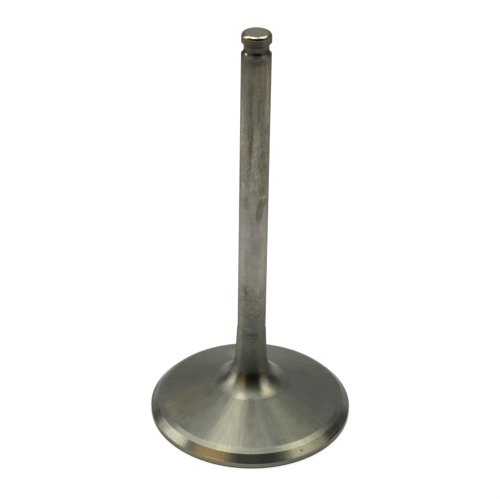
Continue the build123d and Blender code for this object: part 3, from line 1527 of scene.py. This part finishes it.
    stem: SteelFinish = SteelFinish(
        "ground_stem",
        # Painted shade in the tones: darker towards the neck and towards the groove than in the middle
        (
            Tone(24.4, (0.137, 0.138, 0.12)),
            Tone(27, (0.168, 0.166, 0.147)),
            Tone(31, (0.187, 0.184, 0.161)),
            Tone(38, (0.275, 0.27, 0.236)),
            Tone(43, (0.332, 0.321, 0.292)),
            Tone(54, (0.313, 0.302, 0.273)),
            Tone(62, (0.248, 0.24, 0.205)),
            Tone(70, (0.225, 0.217, 0.183)),
            Tone(80, (0.21, 0.203, 0.168)),
            Tone(92, (0.176, 0.164, 0.132)),
            Tone(96.5, (0.15, 0.137, 0.11)),
            Tone(98.6, (0.115, 0.105, 0.088)),
        ),
        0.45,
        0.7,
        edge_tint=0.5,
        rings_per_mm=3.0,
        ring_strength=0.09,
        grain=0.12,
        clouds=0.06,
        streaks=(
            Streaks(1500, 7, 0.13, 66, 200, 8),
            Streaks(700, 2.5, 0.08, 62, 96, 6, 0.8),
            Streaks(1250, 1.6, 0.3, 64, 80, 4, 1.2),
            Streaks(900, 4, 0.05, 40, 66, 6),
            Streaks(2400, 1.3, 0.45, 30, 36.5, 2.5, 1.2),
            Streaks(1500, 1.5, 0.1, 24, 30, 4, 1.0),
        ),
        patches=(
            Patches((1.02, 0.98, 1.02), 280, 3, 0.0),
            Patches((0.98, 1.01, 0.97), 260, 3, 0.013),
            Patches((1.02, 1.0, 0.97), 330, 6, 0.027),
        ),
        stains=(
            # Stains mixed with painted light: painted shade under the step, painted highlights along the
            # left and right edges, and darker and lighter fields between
            StainAndPaintedLight(24.6, 3, 0.25, 26, (0.82, 0.83, 0.82), raggedness=0.5),
            StainAndPaintedLight(27.6, 12, 2.6, 32, (0.9, 0.94, 0.96)),
            StainAndPaintedLight(27.0, -57, 6.0, 16, (1.3, 1.27, 1.22), raggedness=0.4),
            StainAndPaintedLight(35.5, -15, 3.0, 16, (0.86, 0.85, 0.81)),
            StainAndPaintedLight(37.4, -38, 1.4, 14, (0.84, 0.84, 0.8), raggedness=0.8),
            StainAndPaintedLight(36.4, 42, 1.8, 11, (0.82, 0.81, 0.76)),
            StainAndPaintedLight(37.3, 18, 1.2, 10, (1.14, 1.1, 1.07)),
            StainAndPaintedLight(50.5, -3, 5.6, 11, (0.93, 0.87, 0.94)),
            StainAndPaintedLight(50.2, 29, 2.6, 18, (0.89, 0.92, 0.87)),
            StainAndPaintedLight(56.8, -25, 0.9, 28, (0.96, 0.91, 0.98)),
            StainAndPaintedLight(54.0, 36, 1.6, 11, (1.04, 0.97, 1.03)),
            StainAndPaintedLight(47.0, 45, 1.6, 26, (0.96, 0.98, 1.03)),
            StainAndPaintedLight(44.5, -12, 1.6, 22, (1.02, 0.98, 1.02)),
            StainAndPaintedLight(59.2, 25, 2.9, 15.5, (0.64, 0.62, 0.58), lean=1.6, raggedness=0.7, softness=0.25),
            StainAndPaintedLight(55.2, 16, 1.6, 9, (0.92, 0.89, 0.93), raggedness=0.8),
            StainAndPaintedLight(61.7, 50, 1.1, 9, (0.76, 0.74, 0.7), raggedness=0.9),
            StainAndPaintedLight(61.7, -31, 2.3, 11, (0.8, 0.79, 0.75), raggedness=1.5),
            StainAndPaintedLight(65.0, 34, 3.2, 14, (0.82, 0.78, 0.71), lean=1.0),
            StainAndPaintedLight(65.7, 38, 1.5, 9, (0.9, 0.83, 0.74)),
            StainAndPaintedLight(63.2, 42, 0.3, 20, (1.3, 1.33, 1.36), lean=-8.0, raggedness=0.5),
            StainAndPaintedLight(63.5, 28, 0.5, 9, (1.16, 1.12, 1.1), raggedness=0.8),
            StainAndPaintedLight(68.6, 23, 0.6, 9, (1.05, 1.03, 1.03), raggedness=0.9),
            StainAndPaintedLight(71.8, 30, 3.0, 16, (0.77, 0.74, 0.7), raggedness=1.6),
            StainAndPaintedLight(78.6, 33, 4.2, 14, (0.79, 0.8, 0.78), raggedness=1.6),
            StainAndPaintedLight(77.3, 2, 4.6, 10, (1.3, 1.33, 1.3), lean=1.5),
            StainAndPaintedLight(68.4, -27, 1.9, 8, (0.85, 0.84, 0.8), raggedness=1.6),
            StainAndPaintedLight(65.9, -46, 1.3, 6, (1.1, 1.18, 1.13), lean=-5.0),
            StainAndPaintedLight(66.0, 0, 7.0, 14, (1.16, 1.18, 1.17)),
            StainAndPaintedLight(74.0, -62, 5.0, 12, (1.14, 1.13, 1.12)),
            StainAndPaintedLight(80.0, -17, 8.6, 10, (0.74, 0.7, 0.72)),
            StainAndPaintedLight(80.6, -10, 3.0, 4, (0.77, 0.75, 0.78)),
            StainAndPaintedLight(76.0, -16, 2.2, 5.5, (0.79, 0.73, 0.79)),
            StainAndPaintedLight(72.0, -15, 1.6, 5, (0.82, 0.8, 0.78)),
            StainAndPaintedLight(85.8, 14, 3.4, 4, (0.68, 0.65, 0.62), raggedness=0.8),
            StainAndPaintedLight(85.0, 27, 5.0, 7, (0.88, 0.87, 0.84)),
            StainAndPaintedLight(90.5, -20, 3.8, 11, (0.76, 0.79, 0.76)),
            StainAndPaintedLight(92.0, 3, 3.4, 7, (1.08, 0.97, 0.91)),
            StainAndPaintedLight(95.2, 15, 2.8, 11, (1.06, 0.95, 0.99)),
            StainAndPaintedLight(89.5, 54, 6.8, 9, (1.42, 1.34, 1.2)),
            StainAndPaintedLight(91.5, 36, 5.5, 6, (0.92, 0.86, 0.78)),
            StainAndPaintedLight(83.0, 62, 0.9, 7, (1.35, 1.4, 1.45), raggedness=0.5),
            StainAndPaintedLight(82.0, -62, 6.0, 11, (1.5, 1.48, 1.46)),
            StainAndPaintedLight(85.0, -31, 3.2, 7, (0.84, 0.83, 0.85), raggedness=1.5),
            StainAndPaintedLight(75.0, -40, 3.0, 18, (1.08, 1.02, 0.97)),
            StainAndPaintedLight(66.5, -55, 4.0, 15, (1.04, 1.07, 1.06)),
            StainAndPaintedLight(90.0, -58, 3.5, 12, (1.02, 1.06, 1.1)),
            StainAndPaintedLight(93.0, -44, 4.0, 10, (0.96, 0.9, 1.03)),
            StainAndPaintedLight(82.0, -45, 3.4, 9, (0.97, 1.03, 0.88)),
            StainAndPaintedLight(96.0, -38, 1.7, 24, (0.86, 0.83, 0.87)),
            StainAndPaintedLight(97.8, -8, 0.8, 30, (0.78, 0.74, 0.74)),
            StainAndPaintedLight(98.7, 46, 0.5, 16, (1.35, 1.33, 1.32), raggedness=0.5),
            # Smaller neutral marks, lighter and darker, partly stains and partly painted light and shade
            StainAndPaintedLight(43.5, -26, 6.5, 12, grey(0.84), raggedness=0.8),
            StainAndPaintedLight(49.6, 24, 3.0, 16, (0.85, 0.85, 0.86)),
            StainAndPaintedLight(44.0, 17, 0.9, 18, (0.88, 0.88, 0.89)),
            StainAndPaintedLight(68.0, -47, 1.1, 9, grey(0.82)),
            StainAndPaintedLight(67.4, 0, 2.2, 9, (1.15, 1.16, 1.15)),
            StainAndPaintedLight(66.5, 24, 0.7, 6, grey(0.86)),
            StainAndPaintedLight(71.0, -20, 0.8, 11, grey(1.18)),
            StainAndPaintedLight(74.1, 15, 0.8, 11, (1.18, 1.18, 1.17)),
            StainAndPaintedLight(78.0, 16, 1.5, 5, (1.28, 1.28, 1.26)),
            StainAndPaintedLight(77.2, 40, 1.0, 17, grey(0.84)),
            StainAndPaintedLight(81.8, -24, 0.8, 11, grey(0.87)),
            StainAndPaintedLight(86.0, -20, 0.9, 7, (0.84, 0.84, 0.85)),
            StainAndPaintedLight(85.3, 33, 1.3, 5, grey(0.8)),
            StainAndPaintedLight(89.8, 21, 2.0, 8, grey(0.8)),
            StainAndPaintedLight(92.8, 47, 1.8, 8, (1.27, 1.26, 1.22)),
            StainAndPaintedLight(91.2, -8, 1.3, 5, grey(0.86)),
            StainAndPaintedLight(94.0, 2, 1.3, 6, (1.18, 1.16, 1.12)),
            StainAndPaintedLight(97.7, 22, 0.9, 18, (0.76, 0.76, 0.77)),
            StainAndPaintedLight(97.2, -10, 0.9, 12, grey(0.84)),
            StainAndPaintedLight(35.6, -30, 3.0, 13, grey(0.85)),
            StainAndPaintedLight(34.8, 22, 0.9, 8, grey(0.84)),
            StainAndPaintedLight(30.4, -22, 1.0, 10, grey(0.86)),
            StainAndPaintedLight(30.0, 34, 1.0, 7, grey(0.86)),
            StainAndPaintedLight(26.0, -8, 0.6, 14, (1.2, 1.2, 1.18)),
            # Quiet marks at the back
            StainAndPaintedLight(44.0, 150, 6.0, 22, (0.86, 0.83, 0.8)),
            StainAndPaintedLight(58.0, -140, 7.0, 24, (0.88, 0.86, 0.88)),
            StainAndPaintedLight(72.0, 120, 8.0, 18, (0.85, 0.84, 0.8)),
            StainAndPaintedLight(84.0, -115, 6.0, 16, (0.8, 0.78, 0.76)),
            StainAndPaintedLight(91.0, 160, 5.0, 20, (0.82, 0.8, 0.78)),
            StainAndPaintedLight(33.0, -110, 5.0, 24, (0.87, 0.87, 0.84)),
        ),
    )
    tip: SteelFinish = SteelFinish(
        "oxide_tip_with_painted_light",
        # Painted shade in the tones: the keeper groove and the tip's side darkened
        (
            Tone(98.6, (0.115, 0.105, 0.088)),
            Tone(99.15, (0.1, 0.092, 0.076)),
            Tone(99.45, (0.06, 0.055, 0.044)),
            Tone(99.9, (0.065, 0.06, 0.048)),
            Tone(100.6, (0.085, 0.08, 0.068)),
            Tone(101.45, (0.06, 0.055, 0.046)),
            Tone(101.8, (0.075, 0.066, 0.053)),
            Tone(102.9, (0.085, 0.073, 0.056)),
        ),
        0.5,
        0.8,
        grain=0.16,
        clouds=0.12,
        stains=(
            # Oxide tints on the tip's side and groove floor, brightened at the left and right as painted
            # light
            StainAndPaintedLight(102.2, -36, 1.6, 16, (1.3, 1.18, 1.06), raggedness=0.6),
            StainAndPaintedLight(102.2, -62, 1.6, 14, (1.75, 1.75, 1.5), raggedness=0.6),
            StainAndPaintedLight(102.3, 20, 1.0, 12, (1.15, 1.02, 1.15), raggedness=0.6),
            StainAndPaintedLight(102.2, 48, 1.6, 22, (1.65, 1.7, 1.45), raggedness=0.6),
            StainAndPaintedLight(100.4, -40, 0.8, 18, (1.28, 1.13, 1.07), raggedness=0.6),
            # Painted highlights and painted shade in the groove: a grey-green band, a glint, a dark crescent
            # with darker ends, and pale bands at its lower rim
            StainAndPaintedLight(100.5, 8, 0.5, 16, (1.3, 1.45, 1.4), raggedness=0.5),
            StainAndPaintedLight(99.35, -51, 0.2, 7.5, grey(7.5), raggedness=0.3, softness=0.3),
            StainAndPaintedLight(99.5, -78, 0.5, 12, (0.35, 0.4, 0.38), raggedness=0.3),
            StainAndPaintedLight(99.7, 70, 0.4, 14, (0.5, 0.55, 0.5), raggedness=0.3),
            StainAndPaintedLight(99.66, 2, 0.3, 21, (0.25, 0.23, 0.2), raggedness=0.4),
            StainAndPaintedLight(99.0, 46, 0.3, 25, (1.28, 1.3, 1.55), raggedness=0.4),
            StainAndPaintedLight(99.0, 4, 0.28, 17, (1.3, 1.28, 1.45), raggedness=0.3),
            StainAndPaintedLight(98.95, -26, 0.3, 10, (1.2, 1.25, 1.4), raggedness=0.4),
        ),
    )
    edge: SteelFinish = SteelFinish(
        "painted_highlight_edge",
        # Painted shade in the tones on the rounding's lower part, lighter towards the top
        (
            Tone(103.0, (0.125, 0.118, 0.09)),
            Tone(103.45, (0.12, 0.112, 0.086)),
            Tone(103.62, (0.2, 0.19, 0.155)),
            Tone(103.8, (0.22, 0.21, 0.17)),
        ),
        0.22,
        0.2,
        grain=0.1,
        clouds=0.08,
        stains=(
            # A painted dark line of shade under the edge, and painted highlights along the edge
            StainAndPaintedLight(103.42, 4, 0.17, 46, (0.28, 0.25, 0.18), raggedness=0.3, softness=0.3),
            StainAndPaintedLight(103.77, -12, 0.13, 35, (3.2, 3.02, 3.2), raggedness=0.25, softness=0.25),
            StainAndPaintedLight(103.77, 34, 0.13, 20, (4.0, 3.8, 4.0), raggedness=0.25, softness=0.25),
            StainAndPaintedLight(103.78, 5, 0.2, 5, (0.72, 0.7, 0.66), raggedness=0.3),
            StainAndPaintedLight(103.47, -47, 0.24, 9, (4.4, 4.2, 4.4), lean=50.0, raggedness=0.25, softness=0.35),
            StainAndPaintedLight(103.68, -36, 0.14, 7, (1.5, 1.46, 1.5), raggedness=0.25),
            StainAndPaintedLight(103.5, 51, 0.14, 7, (3.3, 3.15, 3.25), lean=-40.0, raggedness=0.25, softness=0.3),
        ),
    )
    end: SteelFinish = SteelFinish(
        "ground_end", (Tone(0, (0.4, 0.375, 0.29)),), 0.22, 0.2, grain=0.09, clouds=0.08
    )

    def for_zone(self, zone: Zone) -> SteelFinish:
        """Gives a zone's finish."""
        return getattr(self, zone.name.lower())


def main() -> None:
    """Builds the dressed valve in its studio."""
    logging.basicConfig(level=logging.INFO, format="%(name)s: %(message)s")
    bpy.context.scene.view_settings.view_transform = "Standard"
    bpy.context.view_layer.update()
    PhotoCamera().build()
    Studio().build()

    section = ValveSection.from_box(*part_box(NODE))
    body = TurnedBody(section).build()
    finishes = Finishes()
    for zone in Zone:
        body.data.materials.append(finishes.for_zone(zone).material())
    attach(body, BODY)
    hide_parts(NODE)
    log.info("valve_body: %d faces", len(body.data.polygons))


if __name__ == "__main__":
    main()
